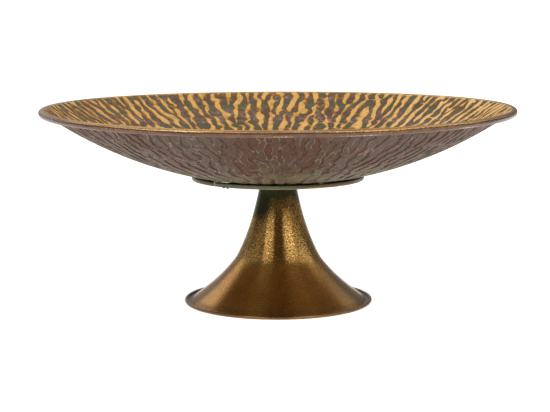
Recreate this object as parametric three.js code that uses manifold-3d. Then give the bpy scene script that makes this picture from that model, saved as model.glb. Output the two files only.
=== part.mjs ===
// A footed table centrepiece in antiqued sheet brass: a wide shallow bowl with a wired rim,
// carried by a lipped plate on a spun trumpet pedestal.
// Millimetres, +Z up, origin at the centre of the foot's underside.
import * as THREE from 'three';
import { mergeVertices } from 'three/addons/utils/BufferGeometryUtils.js';
import Module from 'manifold-3d';

const wasm = await Module();
wasm.setup();

// Driving sizes
const SEAT_GAP = 0.3;            // clearance between pieces that touch
const SEGMENTS = 60;             // facets round every turned piece
const MERGE_TOLERANCE = 1e-4;    // points closer than this are one corner

const BOWL_RADIUS = 200;         // outside of the rim bead
const BOWL_SHEET = 1.2;
const BOWL_CURVE_RADIUS = 338;   // arc of the bowl's underside
const BOWL_FLAT_RADIUS = 54;     // flat floor, pressed for the plate
const BOWL_ARC_STEPS = 9;

const BEAD_RADIUS = 3;           // rim bead, outside of the rolled sheet
const BEAD_END_ANGLE = -150;     // degrees, where the rolled sheet stops under the bead
const BEAD_STEP_ANGLE = 36;
const SEAM_ANGLE = 207;          // degrees round the rim, where the rolled edge's two ends meet
const SEAM_WIDTH = 1.4;

const PLATE_RADIUS = 73;
const PLATE_SHEET = 1.2;
const PLATE_LIP_HEIGHT = 3.4;
const PLATE_LIP_SHEET = 1.6;
const PLATE_STEP_ANGLE = 45;

const PEDESTAL_HEIGHT = 104.7;
const PEDESTAL_SHEET = 1.1;
const NECK_RADIUS = 16;
const MOUTH_RADIUS = 77.4;       // where the flare's curve would meet the table
const FLARE_RATE = 2.6;          // how fast the trumpet opens towards the foot
const FLARE_STEPS = 12;
const FLARE_STEP_GROWTH = 1.5;   // steps are short near the foot, where the flare bends most
const NECK_SEAT_WIDTH = 5.5;     // edge turned in under the plate
const FOOT_RADIUS = 80;
const FOOT_HEM_RADIUS = 1.5;     // rolled edge of the foot
const FOOT_HEM_FLAT = 0.2;       // how much of the hem's underside is worn flat
const FOOT_HEM_STEP_ANGLE = 30;
const FOOT_FLANGE_LIFT = 0.35;   // flange's underside above the table
const FOOT_FLANGE_WIDTH = 3;

const NECK_WELD_LEG = 3;         // fillet of braze under the plate
const NECK_WELD_EDGE = 0.4;      // its thickness at the lower edge
const NECK_WELD_STEP_ANGLE = 30;
const TACK_ANGLES = [228, 299, 12, 84, 156];   // degrees, tacks from the plate's lip to the bowl
const TACK_LENGTH = 8;
const TACK_WIDTH = 4.4;
const TACK_HEIGHT = 5.2;
const TACK_FACETS = 12;
const TACK_RINGS = 8;
const TACK_CUT_STEPS = 4;

// Heights and radii that follow from the stack
const plateBottom = PEDESTAL_HEIGHT + SEAT_GAP;
const plateTop = plateBottom + PLATE_SHEET;
const lipTop = plateBottom + PLATE_LIP_HEIGHT;
const bowlBottom = plateTop + SEAT_GAP;
const curveCentre = bowlBottom + Math.sqrt(BOWL_CURVE_RADIUS ** 2 - BOWL_FLAT_RADIUS ** 2);
const beadCentreRadius = BOWL_RADIUS - BEAD_RADIUS;
const beadInnerRadius = BEAD_RADIUS - BOWL_SHEET;
const beadCurveRadius = BOWL_CURVE_RADIUS - BOWL_SHEET + BEAD_RADIUS;
const beadCentreHeight = curveCentre - Math.sqrt(beadCurveRadius ** 2 - beadCentreRadius ** 2);
const rollAngle = degrees(Math.atan2(curveCentre - beadCentreHeight, -beadCentreRadius));
const rollCosine = Math.cos(radians(rollAngle));
const flareFullOpening = Math.exp(FLARE_RATE) - 1;
const flareSpan = MOUTH_RADIUS - NECK_RADIUS;

// Height of the bowl's sheet at a radius, measured `inset` above its underside.
function bowlHeight(radius, inset) {
  return curveCentre - Math.sqrt((BOWL_CURVE_RADIUS - inset) ** 2 - radius ** 2);
}

// Outside radius of the trumpet at a height, its change with height, and the height of a radius.
function flareRadius(height) {
  const opening = Math.exp(FLARE_RATE * (1 - height / PEDESTAL_HEIGHT)) - 1;
  return NECK_RADIUS + flareSpan * opening / flareFullOpening;
}

function flareSlope(height) {
  const growth = Math.exp(FLARE_RATE * (1 - height / PEDESTAL_HEIGHT));
  return -flareSpan * growth * FLARE_RATE / PEDESTAL_HEIGHT / flareFullOpening;
}

function flareHeight(radius) {
  const opening = flareFullOpening * (radius - NECK_RADIUS) / flareSpan;
  return PEDESTAL_HEIGHT * (1 - Math.log(1 + opening) / FLARE_RATE);
}

function radians(degrees) {
  return degrees * Math.PI / 180;
}

function degrees(angle) {
  return angle * 180 / Math.PI;
}

// Whole steps from one value to another, both ends included.
function spread(from, to, steps) {
  return Array.from({ length: steps + 1 }, (_, i) => from + (to - from) * i / steps);
}

function arc(centreX, centreY, radius, fromDegrees, toDegrees, stepDegrees) {
  const steps = Math.max(2, Math.ceil(Math.abs(toDegrees - fromDegrees) / stepDegrees));
  return spread(fromDegrees, toDegrees, steps).map((angle) => [
    centreX + radius * Math.cos(radians(angle)),
    centreY + radius * Math.sin(radians(angle)),
  ]);
}

// Turns an outline of [radius, height] pairs, anticlockwise, about +Z.
function turned(outline) {
  const points = outline.map(([radius, height]) => new THREE.Vector2(Math.max(radius, 0), height));
  if (outline[0][0] > 0) points.push(points[0].clone());
  const geometry = new THREE.LatheGeometry(points, SEGMENTS);
  geometry.rotateX(Math.PI / 2);
  return geometry;
}

function toSolid(geometry) {
  const bare = geometry.clone();
  bare.deleteAttribute('normal');
  bare.deleteAttribute('uv');
  const merged = mergeVertices(bare, MERGE_TOLERANCE);
  const index = Array.from(merged.index.array);
  const kept = [];
  for (let i = 0; i < index.length; i += 3) {
    const [a, b, c] = index.slice(i, i + 3);
    if (a !== b && b !== c && a !== c) kept.push(a, b, c);
  }
  const mesh = new wasm.Mesh({
    numProp: 3,
    vertProperties: new Float32Array(merged.attributes.position.array),
    triVerts: new Uint32Array(kept),
  });
  return new wasm.Manifold(mesh);
}

function toGeometry(solid) {
  const mesh = solid.getMesh();
  const positions = new Float32Array(mesh.vertProperties);
  const geometry = new THREE.BufferGeometry();
  geometry.setAttribute('position', new THREE.BufferAttribute(positions, 3));
  geometry.setIndex(new THREE.BufferAttribute(new Uint32Array(mesh.triVerts), 1));
  geometry.computeVertexNormals();
  return geometry;
}

// The curved wall's outline, from the edge of the flat floor out to a radius.
function bowlWall(endRadius, inset) {
  return spread(BOWL_FLAT_RADIUS, endRadius, BOWL_ARC_STEPS)
    .map((radius) => [radius, bowlHeight(radius, inset)]);
}

// One sheet: flat floor, curved wall, and an edge rolled outwards round the wire. The wall runs
// smoothly into the roll, so its inner face goes on over the top of the bead.
function bowlGeometry() {
  const centre = [beadCentreRadius, beadCentreHeight];
  const outline = [
    [0, bowlBottom],
    ...bowlWall(beadCentreRadius + beadInnerRadius * rollCosine, 0),
    ...arc(...centre, beadInnerRadius, rollAngle, BEAD_END_ANGLE, BEAD_STEP_ANGLE).slice(1),
    ...arc(...centre, BEAD_RADIUS, BEAD_END_ANGLE, rollAngle, BEAD_STEP_ANGLE).slice(0, -1),
    ...bowlWall(beadCentreRadius + BEAD_RADIUS * rollCosine, BOWL_SHEET).reverse(),
    [0, bowlHeight(BOWL_FLAT_RADIUS, BOWL_SHEET)],
  ];
  return toGeometry(toSolid(turned(outline)).subtract(seamCutter()));
}

// A narrow slot through the sheet on the outside of the bead, down to the clearance round the wire.
function seamCutter() {
  const slot = new THREE.BoxGeometry(BEAD_RADIUS, SEAM_WIDTH, 2 * BEAD_RADIUS);
  const innerFace = beadCentreRadius + beadInnerRadius - SEAT_GAP;
  slot.translate(innerFace + BEAD_RADIUS / 2, 0, beadCentreHeight);
  slot.rotateZ(radians(SEAM_ANGLE));
  return toSolid(slot);
}

function rimWireGeometry() {
  const wireRadius = beadInnerRadius - SEAT_GAP;
  const section = arc(beadCentreRadius, beadCentreHeight, wireRadius, 0, 360, BEAD_STEP_ANGLE);
  return turned(section.slice(0, -1));
}

// Shallow plate with a turned-up lip, which carries the bowl.
function plateGeometry() {
  const corner = PLATE_LIP_SHEET / 2;
  const cornerCentre = PLATE_RADIUS - corner;
  return turned([
    [0, plateBottom],
    ...arc(cornerCentre, plateBottom + corner, corner, -90, 0, PLATE_STEP_ANGLE),
    ...arc(cornerCentre, lipTop - corner, corner, 0, 180, PLATE_STEP_ANGLE),
    [PLATE_RADIUS - PLATE_LIP_SHEET, plateTop],
    [0, plateTop],
  ]);
}

// Outline of the trumpet from the flange up to the neck, `inset` within its outside.
function flareOutline(inset) {
  const flangeEnd = FOOT_RADIUS - 2 * FOOT_HEM_RADIUS - FOOT_FLANGE_WIDTH;
  const low = Math.max(flareHeight(flangeEnd), FOOT_FLANGE_LIFT + PEDESTAL_SHEET);
  return spread(0, 1, FLARE_STEPS).map((share) => {
    const height = low + (PEDESTAL_HEIGHT - low) * share ** FLARE_STEP_GROWTH;
    const slope = flareSlope(height);
    const length = Math.hypot(1, slope);
    return [flareRadius(height) - inset / length, height + inset * slope / length];
  });
}

// Spun in one piece: foot hem, flat flange, trumpet flare, and an edge turned in at the top.
function pedestalGeometry() {
  const hemHeight = FOOT_HEM_RADIUS - FOOT_HEM_FLAT;
  const hem = [FOOT_RADIUS - FOOT_HEM_RADIUS, hemHeight, FOOT_HEM_RADIUS];
  const flatAngle = degrees(Math.acos(hemHeight / FOOT_HEM_RADIUS));
  const flangeTop = FOOT_FLANGE_LIFT + PEDESTAL_SHEET;
  const creaseAngle = 180 - degrees(Math.asin((flangeTop - hemHeight) / FOOT_HEM_RADIUS));
  const undersideAngle = 180 + degrees(Math.asin((hemHeight - FOOT_FLANGE_LIFT) / FOOT_HEM_RADIUS));
  const outside = flareOutline(0);
  const inside = flareOutline(PEDESTAL_SHEET)
    .filter(([, height]) => height > FOOT_FLANGE_LIFT && height < PEDESTAL_HEIGHT - PEDESTAL_SHEET)
    .reverse();
  const seatInner = NECK_RADIUS - NECK_SEAT_WIDTH;
  const flangeInner = outside[0][0];
  return turned([
    [flangeInner - PEDESTAL_SHEET, FOOT_FLANGE_LIFT],
    ...arc(...hem, undersideAngle, 270 - flatAngle, FOOT_HEM_STEP_ANGLE),
    ...arc(...hem, 270 + flatAngle, 360 + creaseAngle, FOOT_HEM_STEP_ANGLE),
    [flangeInner + PEDESTAL_SHEET, flangeTop],
    ...outside,
    [seatInner, PEDESTAL_HEIGHT],
    [seatInner, PEDESTAL_HEIGHT - PEDESTAL_SHEET],
    [NECK_RADIUS - PEDESTAL_SHEET, PEDESTAL_HEIGHT - PEDESTAL_SHEET],
    ...inside,
  ]);
}

// Hollow-faced fillet of braze between the neck and the plate's underside.
function neckWeldGeometry() {
  const top = plateBottom - SEAT_GAP;
  const low = top - NECK_WELD_LEG;
  const neckFace = flareRadius(low) + SEAT_GAP;
  const outerEdge = neckFace + NECK_WELD_EDGE + NECK_WELD_LEG;
  return turned([
    [neckFace, low],
    ...arc(outerEdge, low, NECK_WELD_LEG, 180, 90, NECK_WELD_STEP_ANGLE),
    [flareRadius(top) + SEAT_GAP, top],
  ]);
}

// A blob of braze on the plate's lip, cut clear of the plate and of the bowl's underside.
function tackGeometry(angle) {
  const blob = new THREE.SphereGeometry(1, TACK_FACETS, TACK_RINGS);
  blob.scale(TACK_WIDTH / 2, TACK_LENGTH / 2, TACK_HEIGHT / 2);
  blob.translate(PLATE_RADIUS, 0, lipTop);
  blob.rotateZ(radians(angle));
  const clearRadius = PLATE_RADIUS + SEAT_GAP;
  const plateCutter = turned([
    [0, plateBottom - TACK_HEIGHT],
    [clearRadius, plateBottom - TACK_HEIGHT],
    [clearRadius, lipTop + SEAT_GAP],
    [0, lipTop + SEAT_GAP],
  ]);
  const underBowl = spread(BOWL_FLAT_RADIUS, PLATE_RADIUS + TACK_WIDTH, TACK_CUT_STEPS)
    .map((radius) => [radius, bowlHeight(radius, -SEAT_GAP)]);
  const bowlCutter = turned([
    [0, bowlHeight(BOWL_FLAT_RADIUS, -SEAT_GAP)],
    ...underBowl,
    [PLATE_RADIUS + TACK_WIDTH, beadCentreHeight],
    [0, beadCentreHeight],
  ]);
  return toGeometry(toSolid(blob).subtract(toSolid(plateCutter)).subtract(toSolid(bowlCutter)));
}

function finish(color, roughness, metalness) {
  return new THREE.MeshStandardMaterial({ color, roughness, metalness });
}

const gildedPatina = finish(0x8f6c34, 0.5, 0.7);
const agedBrass = finish(0x7d5620, 0.4, 0.9);
const greenedBrass = finish(0x5d5a42, 0.55, 0.6);
const brownBraze = finish(0x6a5138, 0.6, 0.6);
const ironWire = finish(0x56524c, 0.5, 0.9);

const centrepiece = new THREE.Group();

function add(name, geometry, material) {
  const mesh = new THREE.Mesh(geometry, material);
  mesh.name = name;
  centrepiece.add(mesh);
}

add('bowl_shell', bowlGeometry(), gildedPatina);
add('rim_wire', rimWireGeometry(), ironWire);
add('support_plate', plateGeometry(), greenedBrass);
add('pedestal', pedestalGeometry(), agedBrass);
add('neck_weld', neckWeldGeometry(), brownBraze);
TACK_ANGLES.forEach((angle, i) => add(`tack_weld_${i + 1}`, tackGeometry(angle), brownBraze));

export default centrepiece;
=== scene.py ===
"""Looks of a footed table centrepiece in antiqued brass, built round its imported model.

Metres, +Z up, the foot's centre at the origin. The bowl is one pressed sheet with a bark-like relief,
gilded on its ridges inside and patinated brown outside. Its edge is rolled round a wire. A lipped plate
and a spun trumpet pedestal carry it.
"""
import math
from functools import partial

import bmesh
import bpy
import numpy as np
from mathutils import Matrix, Vector, noise


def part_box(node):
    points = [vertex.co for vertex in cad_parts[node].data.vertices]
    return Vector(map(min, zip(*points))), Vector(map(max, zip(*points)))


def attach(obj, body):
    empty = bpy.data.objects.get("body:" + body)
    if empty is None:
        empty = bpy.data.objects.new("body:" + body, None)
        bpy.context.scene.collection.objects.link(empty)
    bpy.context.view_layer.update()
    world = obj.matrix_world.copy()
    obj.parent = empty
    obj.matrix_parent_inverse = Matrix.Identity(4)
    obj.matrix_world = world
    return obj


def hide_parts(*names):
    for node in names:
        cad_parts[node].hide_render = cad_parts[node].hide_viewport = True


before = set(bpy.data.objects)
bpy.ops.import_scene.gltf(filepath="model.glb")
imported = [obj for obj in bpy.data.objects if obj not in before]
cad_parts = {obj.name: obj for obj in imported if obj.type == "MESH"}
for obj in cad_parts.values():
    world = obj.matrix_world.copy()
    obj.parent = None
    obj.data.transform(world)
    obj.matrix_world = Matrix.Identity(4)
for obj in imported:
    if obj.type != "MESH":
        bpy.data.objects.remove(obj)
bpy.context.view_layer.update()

MM = 0.001
FULL_TURN = 2 * math.pi
HAIR = 0.03 * MM  # a small clearance, inside the frame's box and between pieces
RIM_ROOM = 0.13 * MM  # room for the rim's unevenness inside that box

# Stack heights, read from the frame
plate_low, plate_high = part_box("support_plate")
pedestal_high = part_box("pedestal")[1]
bowl_low, bowl_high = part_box("bowl_shell")
RIM_RADIUS = bowl_high.x - RIM_ROOM
PLATE_SHEET = 1.2 * MM
PLATE_LIP_SHEET = 1.6 * MM
PLATE_BOTTOM = plate_low.z
PLATE_TOP = plate_low.z + PLATE_SHEET
PLATE_LIP_TOP = plate_high.z
PLATE_RADIUS = plate_high.x
PEDESTAL_HEIGHT = pedestal_high.z
FOOT_RADIUS = pedestal_high.x
BOWL_BOTTOM = bowl_low.z

# Bowl
BOWL_SHEET = 1.2 * MM
BOWL_CURVE_RADIUS = 338 * MM
BOWL_FLAT_RADIUS = 54 * MM
CURVE_CENTRE = BOWL_BOTTOM + math.sqrt(BOWL_CURVE_RADIUS ** 2 - BOWL_FLAT_RADIUS ** 2)

# Rolled rim: the sheet's inner face runs straight on over the top of the roll
BEAD_RADIUS = 2.8 * MM
BEAD_END_ANGLE = -150
BEAD_CENTRE_RADIUS = RIM_RADIUS - BEAD_RADIUS
BEAD_CURVE_RADIUS = BOWL_CURVE_RADIUS - BOWL_SHEET + BEAD_RADIUS
BEAD_CENTRE_HEIGHT = CURVE_CENTRE - math.sqrt(BEAD_CURVE_RADIUS ** 2 - BEAD_CENTRE_RADIUS ** 2)
ROLL_ANGLE = math.degrees(math.atan2(CURVE_CENTRE - BEAD_CENTRE_HEIGHT, -BEAD_CENTRE_RADIUS))
WALL_END_RADIUS = BEAD_CENTRE_RADIUS + BEAD_RADIUS * math.cos(math.radians(ROLL_ANGLE))
WALL_UNDER_END = WALL_END_RADIUS - BOWL_SHEET * math.cos(math.radians(ROLL_ANGLE))
BEAD_LAP = 1 * MM  # how far the roll reaches back over the wall
BEAD_WAVER = 0.25 * MM  # unevenness of the roll
WIRE_SLACK = 0.1 * MM  # between the wire and the roll
WIRE_WAVER = 0.06 * MM
SEAM_ANGLE = 207
SEAM_WIDTH = 1.6 * MM
SEAM_SINK = 0.6 * MM  # how far the notch's middle lies below the roll's

# The bowl has sprung a little: its left and right stand higher than its front and back
RIM_WARP = 0.7 * MM
RIM_SINK = RIM_WARP + max(0, BEAD_CENTRE_HEIGHT + BEAD_RADIUS - bowl_high.z + HAIR)

# Relief pressed into the bowl: ridges inside, which are hollows outside
RELIEF_SEED = 8
DEPTH_INSIDE = 1.1 * MM
DEPTH_OUTSIDE = 0.95 * MM
RELIEF_START = 56 * MM  # radius where the ridges begin to rise from the flat floor
RELIEF_FULL = 86 * MM
RELIEF_FADE = 2.5 * MM  # width at the rim over which the relief flattens
RIDGE_SPACING = 10.2 * MM
RIDGE_COHERENCE = (7 * MM, 14 * MM)  # across and along: how far neighbouring ridges keep in step
RIDGE_LEAN = 0.16  # radians, how far ridges stray from the radius
RIDGE_LEVEL = 0.24  # a wave is a ridge where it stands above this level
RIDGE_SWELL = 0.46  # how much ridges swell and thin
SWELL_GAIN = 1.8  # how sharply swollen and thin stretches part
SWELL_SIZE = (3.5 * MM, 5 * MM)
RIDGE_KNOBS = 0.20  # small uneven widening
KNOB_SIZE = (2.2 * MM, 2.2 * MM)
RIDGE_WOBBLE = 0.075  # turns by which a ridge steps aside
WOBBLE_SIZE = (5 * MM, 3 * MM)
RUNG_SPACING = 7 * MM  # rungs are the thin lines that join ridges
RUNG_SIZE = (12 * MM, 5 * MM)
RUNG_PATCHES = (6 * MM, 3 * MM)
RUNG_LEAN = 0.25  # radians
RUNG_START = 0.25
RUNG_WIDTH = 0.20
RUNG_SLOPE = 6
RUNG_TOP = 0.3  # rungs stay lower than ridges
HIGHEST_LEVEL = 0.93  # above it a ridge would break off
RISE_LEVELS = (-0.32, 0.16)  # of the ridge field, between which the sheet rises
TINT_SIZE = (1.8 * MM, 6 * MM)  # patches of one colour in the hollows
GROOVE_SHIFT = 0.18  # grooves outside are narrower than the ridges inside
FLOOR_RIDGE = -0.6  # the ridge field over the plain floor
TIP_LENGTH = 18 * MM  # over which the ridges grow out of the floor
COARSE_REACH = 117 * MM  # within it the mesh has half as many columns and wider rings
WALL_COLUMNS = 1296

# Pedestal: a gently opening neck, then a shoulder below which the foot spreads
NECK_RADIUS = 14.8 * MM
NECK_FLARE = 0.174  # growth of the radius by length down the neck, at the top
NECK_GROWTH = 1.75  # exponent of the flare's growth from the top to the table
SHOULDER_TOP = 41.7 * MM
SHOULDER_BOTTOM = 32.9 * MM
SHOULDER_FLARE = 0.225
FOOT_FLARE = 0.0092 / MM  # further growth of the flare by length, below the shoulder
FLARE_STEPS = 1200
PEDESTAL_SHEET = 1.1 * MM
NECK_SEAT_WIDTH = 5.5 * MM
FOOT_HEM_RADIUS = 1.5 * MM
FOOT_HEM_FLAT = 0.2 * MM
FOOT_FLANGE_LIFT = 0.35 * MM
FOOT_FLANGE_WIDTH = 3 * MM
NECK_WELD_LEG = 3 * MM
NECK_WELD_ROOT = 0.6 * MM  # how far the fillet reaches into the neck
NECK_WELD_WAVER = 1.6 * MM
TACK_ANGLES = (225, 299, 12, 84, 156)
TACK_SIZE = (2.5 * MM, 1.2 * MM, 1.1 * MM)  # sizes of lumps: half length, half depth, half height
TACK_FACE_SIZE = (1.3 * MM, 0.9 * MM, 1.1 * MM)
DROP_TURNS = (7.4, 10.7)  # degrees round from the first tack to its two drops
DROP_LIFTS = (0.3 * MM, 0.2 * MM)  # of their middles above the plate's underside
DROP_SIZES = ((1.7 * MM, 0.9 * MM, 1.0 * MM), (0.9 * MM, 0.8 * MM, 1.1 * MM))
SMEAR_TURNS = (5.0, 8.0, 11.0)  # degrees round to the lumps of its bright smear
SMEAR_RADIUS = 74 * MM
SMEAR_SIZE = (3.4 * MM, 0.7 * MM, 0.5 * MM)
SMEAR_SINK = 0.45 * MM  # below the bowl's underside
DRIP_SIZE = (0.5 * MM, 0.5 * MM, 1.1 * MM)
DRIP_LIFT = 0.9 * MM  # above the middle of the plate's lip
DROP_INSET = 0.5 * MM  # within the plate's edge
TACK_FACE_SHIFT = 0.3 * MM  # outwards from where the drops hang
LUMP_BENDS = (0.45, 0.15)  # share of its size by which a lump is bent, coarsely and finely
LUMP_SCALES = (1.3, 3.5)

# Camera, fitted to the photograph's outline
CAMERA_SIDE = -2 * MM
CAMERA_DISTANCE = 1.325
CAMERA_HEIGHT = 0.2726
CAMERA_PITCH = 8.207
CAMERA_ROLL = 0.18
CAMERA_LENS = 103.07


def bowl_height(radius, inset):
    """Height of the bowl's sheet at a radius, measured inset above its underside."""
    return CURVE_CENTRE - np.sqrt((BOWL_CURVE_RADIUS - inset) ** 2 - radius ** 2)


def flare_table():
    """Outside radius of the trumpet over its heights, summed down from the neck."""
    heights = np.linspace(0, PEDESTAL_HEIGHT, FLARE_STEPS)
    flare = NECK_FLARE * np.exp(NECK_GROWTH * (1 - heights / PEDESTAL_HEIGHT))
    flare += SHOULDER_FLARE * smooth_step(-SHOULDER_TOP, -SHOULDER_BOTTOM, -heights)
    flare += FOOT_FLARE * np.maximum(0, SHOULDER_BOTTOM - heights)
    steps = (flare[1:] + flare[:-1]) / 2 * np.diff(heights)
    below = np.concatenate([[0], np.cumsum(steps)])
    return heights, NECK_RADIUS + below[-1] - below


def smooth_step(low, high, value):
    """Rises evenly from 0 at low to 1 at high, flat at both ends."""
    share = np.clip((value - low) / (high - low), 0, 1)
    return share * share * (3 - 2 * share)


def arc(centre_radius, centre_height, radius, start, end, steps):
    """Outline points round an arc, angles in degrees."""
    angles = np.radians(np.linspace(start, end, steps + 1))
    return [(centre_radius + radius * math.cos(a), centre_height + radius * math.sin(a)) for a in angles]


# Relief field

def wave_field(random, radii, columns, spacing, size, lean, outwards):
    """Complex waves in plan on a polar grid, whose phase gives stripes that meander and fork.

    Each of many small patches carries a wave of its own phase and lean, and patches that overlap blend.
    A patch's size is given across and along the radius. With outwards true the stripes run outwards,
    otherwise they run round the bowl.
    """
    across, along = size
    spreads = 3
    reach = spreads * max(size)
    low, high = radii[0] - reach, radii[-1] + reach
    count = int(math.pi * (high ** 2 - low ** 2) / (across * along))
    patch_radius = np.sqrt(random.uniform(low ** 2, high ** 2, count))
    patch_angle = random.uniform(0, FULL_TURN, count)
    patch_lean = random.normal(0, lean, count)
    patch_phase = random.uniform(0, FULL_TURN, count)
    step = FULL_TURN / columns
    row = radii[1] - radii[0]
    field = np.zeros((len(radii), columns), complex)
    for radius, angle, tilt, phase in zip(patch_radius, patch_angle, patch_lean, patch_phase):
        first = max(0, int((radius - spreads * along - radii[0]) / row))
        last = min(len(radii), int((radius + spreads * along - radii[0]) / row) + 1)
        if last <= first:
            continue
        half = min(columns // 2 - 1, int(spreads * across / max(radius - reach, across) / step))
        centre = int(round(angle / step))
        cells = np.arange(centre - half, centre + half + 1)
        turn = cells * step - angle
        round_way = radii[first:last, None] * np.sin(turn)[None, :]
        outward = radii[first:last, None] * np.cos(turn)[None, :] - radius
        if outwards:
            travel = round_way * math.cos(tilt) + outward * math.sin(tilt)
        else:
            travel = outward * math.cos(tilt) + round_way * math.sin(tilt)
        weight = np.exp(-(round_way / across) ** 2 / 2 - (outward / along) ** 2 / 2)
        wave = np.exp(1j * (FULL_TURN * travel / spacing + phase))
        field[first:last, cells % columns] += weight * wave
    return field


def in_step(field):
    """Waves of the same height everywhere, from -1 to 1."""
    return field.real / np.abs(field)


def cloud(random, radii, columns, size):
    """Soft random patches of about a size, with a spread of 1 about 0."""
    spacing = 4 * max(size)
    lean = 1.5
    patches = wave_field(random, radii, columns, spacing, size, lean, True).real
    return patches / patches.std()


class Relief:
    """Two fields over the bowl's plan: ridge, above 0 on a gilded ridge and below 0 in a hollow, and
    tint, soft patches that colour the hollows."""

    COLUMNS = 2400
    ROW = 0.6 * MM

    def __init__(self):
        random = np.random.default_rng(RELIEF_SEED)
        self.radii = np.arange(RELIEF_START - 2 * MM, RIM_RADIUS, self.ROW)
        grid = (self.radii, self.COLUMNS)
        ridges = wave_field(random, *grid, RIDGE_SPACING, RIDGE_COHERENCE, RIDGE_LEAN, True)
        ridges *= np.exp(1j * FULL_TURN * RIDGE_WOBBLE * cloud(random, *grid, WOBBLE_SIZE))
        swell = np.tanh(SWELL_GAIN * cloud(random, *grid, SWELL_SIZE))
        level = RIDGE_LEVEL + RIDGE_SWELL * swell + RIDGE_KNOBS * cloud(random, *grid, KNOB_SIZE)
        rungs = in_step(wave_field(random, *grid, RUNG_SPACING, RUNG_SIZE, RUNG_LEAN, False))
        where = cloud(random, *grid, RUNG_PATCHES)
        rungs -= 1 - RUNG_WIDTH * np.clip(where - RUNG_START, -1, 2)
        ridge = in_step(ridges) - np.minimum(level, HIGHEST_LEVEL)
        ridge = np.maximum(ridge, np.minimum(RUNG_SLOPE * rungs, RUNG_TOP))
        self.fields = np.stack([ridge, cloud(random, *grid, TINT_SIZE)])

    def at(self, radius, angle):
        """The ridge field and the tint at plan positions, blended between grid cells."""
        column = np.mod(angle, FULL_TURN) / FULL_TURN * self.COLUMNS
        row = np.clip((radius - self.radii[0]) / self.ROW, 0, len(self.radii) - 1.001)
        left, inner = np.floor(column).astype(int), np.floor(row).astype(int)
        across, along = column - left, row - inner
        left, right = left % self.COLUMNS, (left + 1) % self.COLUMNS
        near, far = (self.fields[:, ring, left] * (1 - across) + self.fields[:, ring, right] * across
                     for ring in (inner, inner + 1))
        return near * (1 - along) + far * along

    def rise(self, radius, ridge, depth):
        """Height of the pressed sheet above its plain curve: ridges up, hollows down."""
        start = smooth_step(RELIEF_START, RELIEF_FULL, radius)
        end = 1 - smooth_step(WALL_END_RADIUS - RELIEF_FADE, WALL_END_RADIUS, radius)
        return depth * start * end * (smooth_step(*RISE_LEVELS, ridge) - 0.5)


# Meshes

def ring_skin(rings):
    """Faces of a closed skin through rings of points. A ring has one point, or as many as, half or
    twice as many as the ring before it."""
    faces = []
    start = 0
    for ring, next_ring in zip(rings, rings[1:]):
        here = [start + i for i in (*range(len(ring)), 0)]
        start += len(ring)
        there = [start + i for i in (*range(len(next_ring)), 0)]
        if len(ring) == 1:
            faces += [(here[0], first, second) for first, second in zip(there, there[1:])]
        elif len(next_ring) == 1:
            faces += [(first, there[0], second) for first, second in zip(here, here[1:])]
        elif len(ring) == len(next_ring):
            faces += [(here[i], there[i], there[i + 1], here[i + 1]) for i in range(len(ring))]
        elif len(ring) < len(next_ring):
            for i in range(len(ring)):
                faces.append((here[i], there[2 * i], there[2 * i + 1]))
                faces.append((here[i], there[2 * i + 1], here[i + 1]))
                faces.append((here[i + 1], there[2 * i + 1], there[2 * i + 2]))
        else:
            for i in range(len(next_ring)):
                faces.append((here[2 * i], there[i], here[2 * i + 1]))
                faces.append((here[2 * i + 1], there[i], there[i + 1]))
                faces.append((here[2 * i + 1], there[i + 1], here[2 * i + 2]))
    return faces


def new_piece(name, mesh, *materials):
    """An object that holds a mesh, in the scene's own collection."""
    piece = bpy.data.objects.new(name, mesh)
    bpy.context.scene.collection.objects.link(piece)
    for material in materials:
        mesh.materials.append(material)
    return piece


def finish_mesh(piece, crease_angle=35):
    """Smooth shading, with edges kept where the surface turns sharply."""
    piece.data.shade_smooth()
    piece.data.set_sharp_from_angle(angle=math.radians(crease_angle))


def plain_mesh(piece):
    """Turns the result of a piece's modifiers into its mesh."""
    graph = bpy.context.evaluated_depsgraph_get()
    mesh = bpy.data.meshes.new_from_object(piece.evaluated_get(graph))
    piece.modifiers.clear()
    piece.data = mesh


def face_outwards(piece):
    """Merges doubled points and turns every face outwards."""
    made = bmesh.new()
    made.from_mesh(piece.data)
    bmesh.ops.remove_doubles(made, verts=made.verts, dist=0.001 * MM)
    bmesh.ops.recalc_face_normals(made, faces=made.faces)
    made.to_mesh(piece.data)
    made.free()


def warp_rim(piece):
    """Bends a piece of the bowl out of true: higher at the sides, lower at the front and back."""
    points = np.empty(3 * len(piece.data.vertices))
    piece.data.vertices.foreach_get("co", points)
    x, y, z = points.reshape(-1, 3).T
    share = (x ** 2 + y ** 2) / RIM_RADIUS ** 2
    round_way = np.arctan2(y, x)
    z += share * (RIM_WARP * np.cos(2 * round_way) - RIM_SINK)
    piece.data.vertices.foreach_set("co", points)
    piece.data.update()


def settle(piece, slot, *nodes):
    """Ties a piece to the one body and hides the nodes that it stands for. Its finish slot is not used."""
    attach(piece, "root")
    if nodes:
        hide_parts(*nodes)


# Geometry Nodes: turning an outline about +Z

def add_node(tree, kind, inputs=None, **settings):
    """A node of a kind. An input is a value, or an output socket that feeds it."""
    made = tree.nodes.new(kind)
    for key, value in settings.items():
        setattr(made, key, value)
    for key, value in (inputs or {}).items():
        if isinstance(value, bpy.types.NodeSocket):
            tree.links.new(value, made.inputs[key])
        else:
            made.inputs[key].default_value = value
    return made


def math_node(tree, operation, *values):
    """The result of a sum on values or sockets."""
    made = add_node(tree, "ShaderNodeMath", dict(enumerate(values)), operation=operation)
    return made.outputs[0]


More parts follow.
